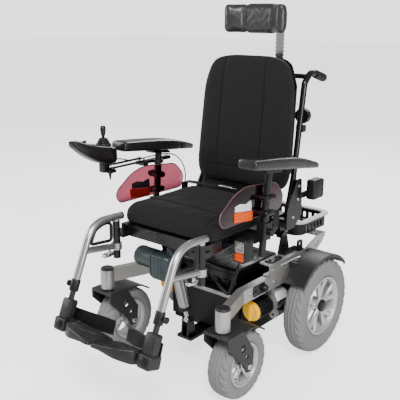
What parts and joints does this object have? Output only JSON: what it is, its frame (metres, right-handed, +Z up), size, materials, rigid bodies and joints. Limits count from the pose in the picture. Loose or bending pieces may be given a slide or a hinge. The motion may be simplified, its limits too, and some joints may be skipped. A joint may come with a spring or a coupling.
{
  "type": "power wheelchair",
  "caption": "Power wheelchair with drive wheels at the rear, swivel casters in front, tilting seat, reclining back, headrest, joystick and swing-away leg rests.",
  "frame": {"origin": "middle of the chair's footprint, on the ground", "axes": "+Z up, the chair faces -Y, its own left is +X"},
  "size_m": [0.662, 1.1226, 1.26],
  "materials": {
    "silver_frame": "satin",
    "black_frame": "gloss",
    "black_plastic": "satin",
    "battery_case": "satin",
    "drive_unit": "satin",
    "grey_tyre": "matt",
    "silver_rim": "satin",
    "charcoal_fork": "satin",
    "yellow_cap": "gloss",
    "seat_fabric": "woven",
    "lamp_lens": "gloss",
    "cable_black": "satin",
    "actuator_grey": "satin",
    "bright_steel": "brushed",
    "arm_foam": "satin",
    "panel_acrylic": "gloss",
    "head_leather": "grained"
  },
  "bodies": {
    "base": {"side_rails": "silver_frame", "barrel_caps": "black_plastic", "base_crossframe": "black_frame", "side_channels": "silver_frame", "rear_gussets": "silver_frame", "tie_down_brackets": "black_frame", "battery_box": "black_plastic", "batteries": "battery_case", "electronics_box": "black_plastic", "drive_units": "drive_unit", "motor_clamps": "silver_frame", "rear_fenders": "black_plastic", "rack_rim": "silver_frame", "rack_basket": "black_plastic", "seat_cable": "cable_black"},
    "seat": {"seat_frame": "black_frame", "armrest_sockets": "black_plastic", "seat_cushion": "seat_fabric", "lamps": "lamp_lens", "recline_brackets": "black_frame", "lap_belt": "seat_fabric"},
    "actuator_housing": {"actuator_body": "actuator_grey"},
    "actuator_ram": {"actuator_rod": "bright_steel"},
    "back": {"back_frame": "black_frame", "back_cushion": "seat_fabric"},
    "headrest_stem": {"headrest_bar": "bright_steel"},
    "headrest": {"headrest_pad": "head_leather"},
    "swing_link_a": {"swing_link_inner": "black_frame"},
    "swing_link_b": {"swing_link_outer": "black_frame"},
    "controller": {"controller_case": "black_plastic"},
    "power_key": {"power_button": "black_plastic"},
    "gimbal": {"joystick_gimbal": "black_frame"},
    "joystick": {"joystick_knob": "black_plastic"},
    "drive_wheel_left": {"rear_tyre_left": "grey_tyre", "rear_rim_left": "silver_rim"},
    "caster_left": {"caster_fork_left": "charcoal_fork"},
    "caster_wheel_left": {"caster_tyre_left": "grey_tyre", "caster_rim_left": "silver_rim"},
    "release_lever_left": {"release_cap_left": "yellow_cap"},
    "armrest_left": {"arm_post_left": "black_frame", "arm_pad_left": "arm_foam", "side_panel_left": "panel_acrylic"},
    "legrest_left": {"hanger_left": "silver_frame"},
    "leg_left": {"leg_tube_left": "black_plastic"},
    "foot_left": {"footplate_left": "black_plastic"},
    "latch_left": {"hanger_latch_left": "bright_steel"},
    "drive_wheel_right": {"rear_tyre_right": "grey_tyre", "rear_rim_right": "silver_rim"},
    "caster_right": {"caster_fork_right": "charcoal_fork"},
    "caster_wheel_right": {"caster_tyre_right": "grey_tyre", "caster_rim_right": "silver_rim"},
    "release_lever_right": {"release_cap_right": "yellow_cap"},
    "armrest_right": {"arm_post_right": "black_frame", "arm_pad_right": "arm_foam", "side_panel_right": "panel_acrylic", "controller_cable": "cable_black"},
    "legrest_right": {"hanger_right": "silver_frame"},
    "leg_right": {"leg_tube_right": "black_plastic"},
    "foot_right": {"footplate_right": "black_plastic"},
    "latch_right": {"hanger_latch_right": "bright_steel"}
  },
  "joints": [
    {"name": "drive_wheel_spin_left", "type": "hinge", "parent": "base", "child": "drive_wheel_left", "pos_m": [0.293, 0.29134, 0.179], "axis": [1, 0, 0], "continuous": true},
    {"name": "caster_swivel_left", "type": "hinge", "parent": "base", "child": "caster_left", "pos_m": [0.264, -0.23566, 0.3], "axis": [0, 0, 1], "continuous": true},
    {"name": "caster_wheel_spin_left", "type": "hinge", "parent": "caster_left", "child": "caster_wheel_left", "pos_m": [0.264, -0.15766, 0.119], "axis": [1, 0, 0], "continuous": true},
    {"name": "release_turn_left", "type": "hinge", "parent": "base", "child": "release_lever_left", "pos_m": [0.197, 0.01934, 0.217], "axis": [0, 1, 0], "range_deg": [0, 60]},
    {"name": "drive_wheel_spin_right", "type": "hinge", "parent": "base", "child": "drive_wheel_right", "pos_m": [-0.293, 0.29134, 0.179], "axis": [1, 0, 0], "continuous": true},
    {"name": "caster_swivel_right", "type": "hinge", "parent": "base", "child": "caster_right", "pos_m": [-0.264, -0.23566, 0.3], "axis": [0, 0, 1], "continuous": true},
    {"name": "caster_wheel_spin_right", "type": "hinge", "parent": "caster_right", "child": "caster_wheel_right", "pos_m": [-0.264, -0.15766, 0.119], "axis": [1, 0, 0], "continuous": true},
    {"name": "release_turn_right", "type": "hinge", "parent": "base", "child": "release_lever_right", "pos_m": [-0.197, 0.01934, 0.217], "axis": [0, -1, 0], "range_deg": [0, 60]},
    {"name": "seat_tilt", "type": "hinge", "parent": "base", "child": "seat", "pos_m": [0, 0.23134, 0.44], "axis": [-1, 0, 0], "range_deg": [0, 20]},
    {"name": "actuator_pivot", "type": "hinge", "parent": "seat", "child": "actuator_housing", "pos_m": [0, -0.18266, 0.455], "axis": [-1, 0, 0], "range_deg": [-12, 1]},
    {"name": "actuator_stroke", "type": "slide", "parent": "actuator_housing", "child": "actuator_ram", "axis": [0, 0.2813, -0.9596], "range_m": [-0.002, 0.14]},
    {"name": "back_recline", "type": "hinge", "parent": "seat", "child": "back", "pos_m": [0, 0.22934, 0.515], "axis": [-1, 0, 0], "range_deg": [0, 30]},
    {"name": "headrest_height", "type": "slide", "parent": "back", "child": "headrest_stem", "axis": [0, 0, 1], "range_m": [0, 0.1]},
    {"name": "headrest_tilt", "type": "hinge", "parent": "headrest_stem", "child": "headrest", "pos_m": [0, 0.39134, 1.2], "axis": [1, 0, 0], "range_deg": [-20, 20]},
    {"name": "armrest_height_left", "type": "slide", "parent": "seat", "child": "armrest_left", "axis": [0, 0.0924, 0.9957], "range_m": [0, 0.06]},
    {"name": "legrest_swing_left", "type": "hinge", "parent": "seat", "child": "legrest_left", "pos_m": [0.19, -0.25366, 0.48], "axis": [0, 0, 1], "range_deg": [0, 90]},
    {"name": "leg_length_left", "type": "slide", "parent": "legrest_left", "child": "leg_left", "axis": [0, -0.3981, -0.9173], "range_m": [-0.02, 0.08]},
    {"name": "footplate_flip_left", "type": "hinge", "parent": "leg_left", "child": "foot_left", "pos_m": [0.165, -0.47266, 0.252], "axis": [0, 0.9511, -0.309], "range_deg": [0, 90]},
    {"name": "latch_turn_left", "type": "hinge", "parent": "legrest_left", "child": "latch_left", "pos_m": [0.19, -0.28866, 0.425], "axis": [0, 0, -1], "range_deg": [0, 20], "stiffness_Nm_per_rad": 0.6},
    {"name": "armrest_height_right", "type": "slide", "parent": "seat", "child": "armrest_right", "axis": [0, 0.0924, 0.9957], "range_m": [0, 0.06], "deforming": ["controller_cable"]},
    {"name": "legrest_swing_right", "type": "hinge", "parent": "seat", "child": "legrest_right", "pos_m": [-0.19, -0.25366, 0.48], "axis": [0, 0, -1], "range_deg": [0, 90]},
    {"name": "leg_length_right", "type": "slide", "parent": "legrest_right", "child": "leg_right", "axis": [0, -0.3981, -0.9173], "range_m": [-0.02, 0.08]},
    {"name": "footplate_flip_right", "type": "hinge", "parent": "leg_right", "child": "foot_right", "pos_m": [-0.165, -0.47266, 0.252], "axis": [0, -0.9511, 0.309], "range_deg": [0, 90]},
    {"name": "latch_turn_right", "type": "hinge", "parent": "legrest_right", "child": "latch_right", "pos_m": [-0.19, -0.28866, 0.425], "axis": [0, 0, 1], "range_deg": [0, 20], "stiffness_Nm_per_rad": 0.6},
    {"name": "controller_swing", "type": "hinge", "parent": "armrest_right", "child": "swing_link_a", "pos_m": [-0.251, -0.05166, 0.705], "axis": [0, 0, -1], "range_deg": [0, 60]},
    {"name": "controller_swing_b", "type": "hinge", "parent": "armrest_right", "child": "swing_link_b", "pos_m": [-0.273, -0.05166, 0.705], "axis": [0, 0, -1], "range_deg": [-1, 61]},
    {"name": "controller_level", "type": "hinge", "parent": "swing_link_a", "child": "controller", "pos_m": [-0.251, -0.20866, 0.705], "axis": [0, 0, -1], "range_deg": [-61, 1]},
    {"name": "power_key_press", "type": "slide", "parent": "controller", "child": "power_key", "axis": [0, -0.2607, -0.9654], "range_m": [0, 0.0012], "stiffness_N_per_m": 500},
    {"name": "joystick_fore_aft", "type": "hinge", "parent": "controller", "child": "gimbal", "pos_m": [-0.262, -0.23466, 0.786], "axis": [1, 0, 0], "range_deg": [-18, 18], "stiffness_Nm_per_rad": 0.25},
    {"name": "joystick_side", "type": "hinge", "parent": "gimbal", "child": "joystick", "pos_m": [-0.262, -0.23466, 0.786], "axis": [0, 1, 0], "range_deg": [-18, 18], "stiffness_Nm_per_rad": 0.25}
  ],
  "couplings": [
    {"joint": "actuator_pivot", "follows": "seat_tilt", "ratio": -0.54643},
    {"joint": "actuator_stroke", "follows": "seat_tilt", "m_per_rad": 0.37809},
    {"joint": "controller_swing_b", "follows": "controller_swing", "ratio": 1},
    {"joint": "controller_level", "follows": "controller_swing", "ratio": -1}
  ]
}
